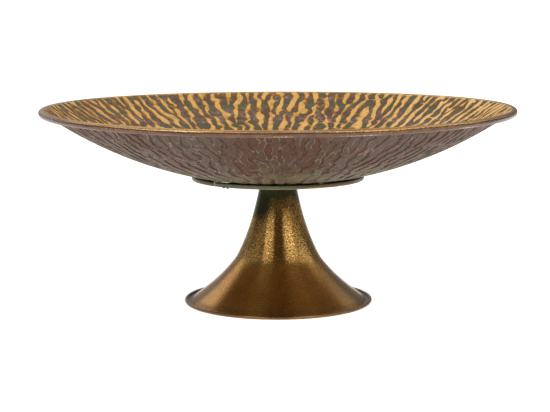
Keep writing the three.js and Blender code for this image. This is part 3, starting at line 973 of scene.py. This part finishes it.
def seam_cutter():
    """The block that cuts the notch out of the roll's outer side."""
    shape = bmesh.new()
    bmesh.ops.create_cube(shape, size=1)
    bmesh.ops.scale(shape, vec=(BEAD_RADIUS, SEAM_WIDTH, 1.5 * BEAD_RADIUS), verts=shape.verts)
    place = (BEAD_CENTRE_RADIUS + BEAD_RADIUS, 0, BEAD_CENTRE_HEIGHT - SEAM_SINK)
    bmesh.ops.translate(shape, vec=place, verts=shape.verts)
    turn = Matrix.Rotation(math.radians(SEAM_ANGLE), 3, "Z")
    bmesh.ops.transform(shape, matrix=turn.to_4x4(), verts=shape.verts)
    mesh = bpy.data.meshes.new("seam_cutter")
    shape.to_mesh(mesh)
    shape.free()
    return new_piece("seam_cutter", mesh)


def rolled_rim(tree, material):
    """The sheet's edge, rolled over and outwards round the wire, with a notch at its seam."""
    centre = (BEAD_CENTRE_RADIUS, BEAD_CENTRE_HEIGHT)
    inner = BEAD_RADIUS - BOWL_SHEET
    inner_steps, outer_steps = 18, 32
    under, over = WALL_UNDER_END - BEAD_LAP, WALL_END_RADIUS - BEAD_LAP
    outline = [
        (under, bowl_height(under, 0) + HAIR),
        *arc(*centre, inner, ROLL_ANGLE, BEAD_END_ANGLE, inner_steps),
        *arc(*centre, BEAD_RADIUS, BEAD_END_ANGLE, ROLL_ANGLE, outer_steps),
        (over, bowl_height(over, BOWL_SHEET) - HAIR),
    ]
    angles = [
        ROLL_ANGLE,
        *np.linspace(ROLL_ANGLE, BEAD_END_ANGLE, inner_steps + 1),
        *np.linspace(BEAD_END_ANGLE, ROLL_ANGLE, outer_steps + 1),
        ROLL_ANGLE,
    ]
    rim = turned_piece("rolled_rim", tree, outline, material, columns=720,
                       waver=BEAD_WAVER, waver_scale=3.0, seed=4.0, marks=angles)
    tool = seam_cutter()
    cut = rim.modifiers.new("seam", "BOOLEAN")
    cut.operation = "DIFFERENCE"
    cut.object = tool
    cut.solver = "EXACT"
    plain_mesh(rim)
    bpy.data.objects.remove(tool)
    warp_rim(rim)
    finish_mesh(rim)
    settle(rim, "bowl_patina", "bowl_shell")


def wired_core(tree, material):
    """The drawn wire inside the roll, which follows the rim."""
    radius = BEAD_RADIUS - BOWL_SHEET - WIRE_SLACK
    sides = 24
    turn = 360 / sides
    outline = arc(BEAD_CENTRE_RADIUS, BEAD_CENTRE_HEIGHT, radius, 0, 360 - turn, sides - 1)
    wire = turned_piece("drawn_wire", tree, outline, material, waver=WIRE_WAVER, waver_scale=8.0)
    warp_rim(wire)
    settle(wire, "rim_iron", "rim_wire")


def flare_points(inset, steps):
    """Outline of the trumpet, inset within its outside, from the flange up to the neck. Its steps grow
    longer towards the neck."""
    heights, radii = flare_table()
    flange_top = FOOT_FLANGE_LIFT + PEDESTAL_SHEET
    flange_end = FOOT_RADIUS - 2 * FOOT_HEM_RADIUS - FOOT_FLANGE_WIDTH
    low = max(float(np.interp(-flange_end, -radii, heights)), flange_top)
    step_growth = 1.3
    shares = np.linspace(0, 1, steps + 1) ** step_growth
    points = []
    for height in low + (PEDESTAL_HEIGHT - low) * shares:
        radius, above = np.interp([height, height + HAIR], heights, radii)
        slope = (above - radius) / HAIR if height < PEDESTAL_HEIGHT - HAIR else -NECK_FLARE
        length = math.hypot(1, slope)
        points.append((radius - inset / length, height + inset * slope / length))
    return points


def trumpet_pedestal(tree, material):
    """The spun pedestal: rolled hem, flat flange, flare, and an edge turned in at the top."""
    hem_height = FOOT_HEM_RADIUS - FOOT_HEM_FLAT
    hem = (FOOT_RADIUS - FOOT_HEM_RADIUS, hem_height, FOOT_HEM_RADIUS)
    flat_angle = math.degrees(math.acos(hem_height / FOOT_HEM_RADIUS))
    flange_top = FOOT_FLANGE_LIFT + PEDESTAL_SHEET
    crease = 180 - math.degrees(math.asin((flange_top - hem_height) / FOOT_HEM_RADIUS))
    under = 180 + math.degrees(math.asin((hem_height - FOOT_FLANGE_LIFT) / FOOT_HEM_RADIUS))
    seat_bottom = PEDESTAL_HEIGHT - PEDESTAL_SHEET
    outside = flare_points(0, 130)
    inside = [(radius, height) for radius, height in flare_points(PEDESTAL_SHEET, 50)
              if FOOT_FLANGE_LIFT < height < seat_bottom]
    seat = NECK_RADIUS - NECK_SEAT_WIDTH
    flange = outside[0][0]
    outline = [
        (flange - PEDESTAL_SHEET, FOOT_FLANGE_LIFT),
        *arc(*hem, under, 270 - flat_angle, 6),
        *arc(*hem, 270 + flat_angle, 360 + crease, 20),
        (flange + PEDESTAL_SHEET, flange_top),
        *outside,
        (seat, PEDESTAL_HEIGHT),
        (seat, seat_bottom),
        (NECK_RADIUS - PEDESTAL_SHEET, seat_bottom),
        *inside[::-1],
    ]
    piece = turned_piece("trumpet_pedestal", tree, outline, material, columns=440)
    settle(piece, "aged_brass", "pedestal")


def lipped_plate(tree, material):
    """The round plate under the bowl, with its turned-up lip."""
    corner = PLATE_LIP_SHEET / 2
    outline = [
        (0, PLATE_BOTTOM),
        (PLATE_RADIUS / 2, PLATE_BOTTOM),
        *arc(PLATE_RADIUS - corner, PLATE_BOTTOM + corner, corner, -90, 0, 6),
        *arc(PLATE_RADIUS - corner, PLATE_LIP_TOP - corner, corner, 0, 180, 10),
        (PLATE_RADIUS - PLATE_LIP_SHEET, PLATE_TOP),
        (PLATE_RADIUS / 2, PLATE_TOP),
        (0, PLATE_TOP),
    ]
    piece = turned_piece("lipped_plate", tree, outline, material, closed=False)
    settle(piece, "verdigris_brass", "support_plate")


def neck_fillet(tree, material):
    """Uneven fillet of braze between the neck and the plate."""
    root = NECK_RADIUS - NECK_WELD_ROOT
    low, high = PLATE_BOTTOM - NECK_WELD_LEG, PLATE_BOTTOM - HAIR
    face = arc(NECK_RADIUS + NECK_WELD_LEG, low, NECK_WELD_LEG, 180, 90, 8)[1:]
    outline = [(root, high), (root, low), *((radius, min(height, high)) for radius, height in face)]
    piece = turned_piece("neck_fillet", tree, outline, material, columns=240,
                         waver=NECK_WELD_WAVER, waver_scale=3.0, seed=7.0)
    settle(piece, "braze", "neck_weld")


def braze_lumps(name, lumps, material, random):
    """A piece made of uneven lumps, each (angle in degrees, radius, height, size)."""
    made = bmesh.new()
    for angle, radius, height, size in lumps:
        ball = bmesh.ops.create_icosphere(made, subdivisions=4, radius=1)["verts"]
        shift = Vector(random.uniform(0, 50, 3))
        for vertex in ball:
            coarse = noise.noise(vertex.co * LUMP_SCALES[0] + shift)
            fine = noise.noise(vertex.co * LUMP_SCALES[1])
            bend = 1 + LUMP_BENDS[0] * coarse + LUMP_BENDS[1] * fine
            along, out, up = (part * half * bend for part, half in zip(vertex.co, size))
            at = math.radians(angle) + along / radius
            vertex.co = ((radius + out) * math.cos(at), (radius + out) * math.sin(at), height + up)
    mesh = bpy.data.meshes.new(name)
    made.to_mesh(mesh)
    made.free()
    piece = new_piece(name, mesh, material)
    face_outwards(piece)
    finish_mesh(piece)
    return piece


def braze_runs(material, glint_solder):
    """Five tacks between the plate's lip and the bowl. The photographed one left of the front has run
    along the gap and hangs in two drops below the plate."""
    random = np.random.default_rng(21)
    gap = (PLATE_LIP_TOP + bowl_height(PLATE_RADIUS, 0)) / 2
    lip = (PLATE_LIP_TOP + PLATE_BOTTOM) / 2
    seat = PLATE_RADIUS - DROP_INSET
    for number, angle in enumerate(TACK_ANGLES, 1):
        lumps = [(angle, seat - TACK_SIZE[1], gap, TACK_SIZE)]
        if number == 1:
            lumps.append((angle, seat + TACK_FACE_SHIFT, gap, TACK_FACE_SIZE))
            for turn, lift, size in zip(DROP_TURNS, DROP_LIFTS, DROP_SIZES):
                lumps.append((angle + turn, seat, PLATE_BOTTOM + lift, size))
        piece = braze_lumps(f"tack_run_{number}", lumps, material, random)
        settle(piece, "braze", f"tack_weld_{number}")
    first = TACK_ANGLES[0]
    under = bowl_height(SMEAR_RADIUS, 0) - SMEAR_SINK
    lumps = [(first + turn, SMEAR_RADIUS, under, SMEAR_SIZE) for turn in SMEAR_TURNS]
    lumps.append((first, PLATE_RADIUS, lip + DRIP_LIFT, DRIP_SIZE))
    # The bright smear under the bowl and the drip over the lip: solder, with a painted glint
    settle(braze_lumps("solder_and_glint", lumps, glint_solder, random), "braze")


# Studio

def studio_material(name, build):
    """A material whose empty tree is filled by a function."""
    material = bpy.data.materials.new(name)
    material.use_nodes = True
    material.node_tree.nodes.clear()
    build(material.node_tree)
    return material


def seen_rays(tree):
    """1 for rays from the camera and for rays that the object reflects or lets through."""
    path = add_node(tree, "ShaderNodeLightPath").outputs
    seen = math_node(tree, "MAXIMUM", path["Is Camera Ray"], path["Is Glossy Ray"])
    return math_node(tree, "MAXIMUM", seen, path["Is Transmission Ray"])


FLOOR_REACH = 20
FLOOR_COLOUR = (0.9, 0.9, 0.9, 1)
FLOOR_LIFT = 0.75  # keeps the floor pale where it is seen
WHITE = (1, 1, 1, 1)
WORLD_LEVEL = 0.5  # of the light on the object
SOFTBOX_DISTANCE = 3.4
SOFTBOX_HEIGHT = 2.4
SOFTBOXES = (  # name, azimuth, width, height of the middle, radiance
    ("softbox_left", -34, 1.9, 2.65, 2.9),
    ("softbox_right", 40, 2.0, 2.60, 2.8),
)
CARD_DISTANCE = 5
CARD_SPLIT = 1.9  # height where a lower card ends and an upper one starts
CARD_HEIGHT = 4.2
CEILING_REACH = 3.5
CEILING_LEVEL = 0.8
WALL_CARDS = (  # name, azimuths from and to, level of the lower and of the upper card
    ("front", -20, 20, 0.04, 0.05),
    ("left_front", -56, -20, 0.08, 0.50),
    ("left_side", -115, -56, 0.12, 0.65),
    ("left_back", -155, -115, 0.30, 1.15),
    ("right_front", 20, 56, 0.08, 0.70),
    ("right_side", 56, 115, 0.18, 1.40),
    ("right_back", 115, 172, 0.20, 0.50),
    ("back", 172, 205, 0.35, 1.00),
)


def square(name, reach, height, material):
    """A level square sheet over the middle of the studio."""
    mesh = bpy.data.meshes.new(name)
    corners = [(reach * x, reach * y, height) for x, y in ((-1, -1), (1, -1), (1, 1), (-1, 1))]
    mesh.from_pydata(corners, [], [(0, 1, 2, 3)])
    return new_piece(name, mesh, material)


def pale_floor():
    """A wide white floor that keeps the object's shadow and can be looked through from below."""
    def build(tree):
        white = add_node(tree, "ShaderNodeBsdfDiffuse", {"Color": FLOOR_COLOUR})
        lift = add_node(tree, "ShaderNodeEmission",
                        {"Strength": math_node(tree, "MULTIPLY", seen_rays(tree), FLOOR_LIFT)})
        lit = add_node(tree, "ShaderNodeAddShader", {0: white.outputs[0], 1: lift.outputs[0]})
        below = add_node(tree, "ShaderNodeNewGeometry").outputs["Backfacing"]
        clear = add_node(tree, "ShaderNodeBsdfTransparent")
        either = add_node(tree, "ShaderNodeMixShader", {0: below, 1: lit.outputs[0], 2: clear.outputs[0]})
        add_node(tree, "ShaderNodeOutputMaterial", {0: either.outputs[0]})
    square("floor", FLOOR_REACH, 0, studio_material("pale_floor", build))


def dull_material(name, level):
    """A material that shines evenly at a level."""
    def build(tree):
        dull = add_node(tree, "ShaderNodeEmission", {"Color": (level, level, level, 1)})
        add_node(tree, "ShaderNodeOutputMaterial", {0: dull.outputs[0]})
    return studio_material(name, build)


def only_reflected(card):
    """A card that only reflections see, as a photographer sets up round polished metal."""
    card.visible_camera = False
    card.visible_diffuse = False
    card.visible_shadow = False
    card.visible_transmission = False


def wall_card(name, start, end, bottom, top, level):
    """A card that stands round the object from one azimuth to another, 0 being the camera's side."""
    feet = [(CARD_DISTANCE * math.sin(a), -CARD_DISTANCE * math.cos(a))
            for a in (math.radians(start), math.radians(end))]
    corners = [(*feet[0], bottom), (*feet[1], bottom), (*feet[1], top), (*feet[0], top)]
    mesh = bpy.data.meshes.new(name)
    mesh.from_pydata(corners, [], [(0, 1, 2, 3)])
    only_reflected(new_piece(name, mesh, dull_material(name, level)))


def softbox(name, azimuth, width, centre, radiance):
    """An upright soft light that faces the object from an azimuth, 0 being the camera's side."""
    lamp = bpy.data.lights.new(name, "AREA")
    lamp.shape = "RECTANGLE"
    lamp.size = width
    lamp.size_y = SOFTBOX_HEIGHT
    lamp.energy = radiance * math.pi * width * SOFTBOX_HEIGHT
    holder = bpy.data.objects.new(name, lamp)
    bpy.context.scene.collection.objects.link(holder)
    turn = math.radians(azimuth)
    holder.location = (SOFTBOX_DISTANCE * math.sin(turn), -SOFTBOX_DISTANCE * math.cos(turn), centre)
    holder.rotation_euler = (math.radians(90), 0, turn)
    holder.visible_camera = False


def pale_world():
    """White all round where it is seen, and a plain level of light on the object."""
    world = bpy.data.worlds.new("studio")
    bpy.context.scene.world = world
    world.use_nodes = True
    tree = world.node_tree
    tree.nodes.clear()
    soft = add_node(tree, "ShaderNodeBackground", {"Color": WHITE, "Strength": WORLD_LEVEL})
    white = add_node(tree, "ShaderNodeBackground", {"Color": WHITE, "Strength": 1.0})
    either = add_node(tree, "ShaderNodeMixShader",
                      {0: seen_rays(tree), 1: soft.outputs[0], 2: white.outputs[0]})
    add_node(tree, "ShaderNodeOutputWorld", {0: either.outputs[0]})


def studio():
    pale_world()
    pale_floor()
    for lamp in SOFTBOXES:
        softbox(*lamp)
    for name, start, end, low, high in WALL_CARDS:
        wall_card(f"{name}_low", start, end, 0, CARD_SPLIT, low)
        wall_card(f"{name}_high", start, end, CARD_SPLIT, CARD_HEIGHT, high)
    ceiling = square("ceiling_card", CEILING_REACH, CARD_HEIGHT, dull_material("ceiling_card", CEILING_LEVEL))
    only_reflected(ceiling)


def camera():
    """The camera that took the photograph, as fitted to its outline."""
    view = bpy.data.objects.new("camera", bpy.data.cameras.new("camera"))
    bpy.context.scene.collection.objects.link(view)
    view.data.lens = CAMERA_LENS
    view.location = (CAMERA_SIDE, -CAMERA_DISTANCE, CAMERA_HEIGHT)
    view.rotation_euler = (math.radians(90 - CAMERA_PITCH), math.radians(CAMERA_ROLL), 0)
    bpy.context.scene.camera = view


turning = turning_tree()
embossed_dish(gilded_relief(), brown_relief())
rolled_rim(turning, rolled_rim_finish())
trumpet_pedestal(turning, spun_brass())
lipped_plate(turning, greened_plate())
wired_core(turning, iron_finish())
braze = braze_finish()
neck_fillet(turning, braze)
braze_runs(braze, solder_and_glint_finish())
studio()
camera()
bpy.context.scene.view_settings.view_transform = "Standard"

bpy.context.view_layer.update()
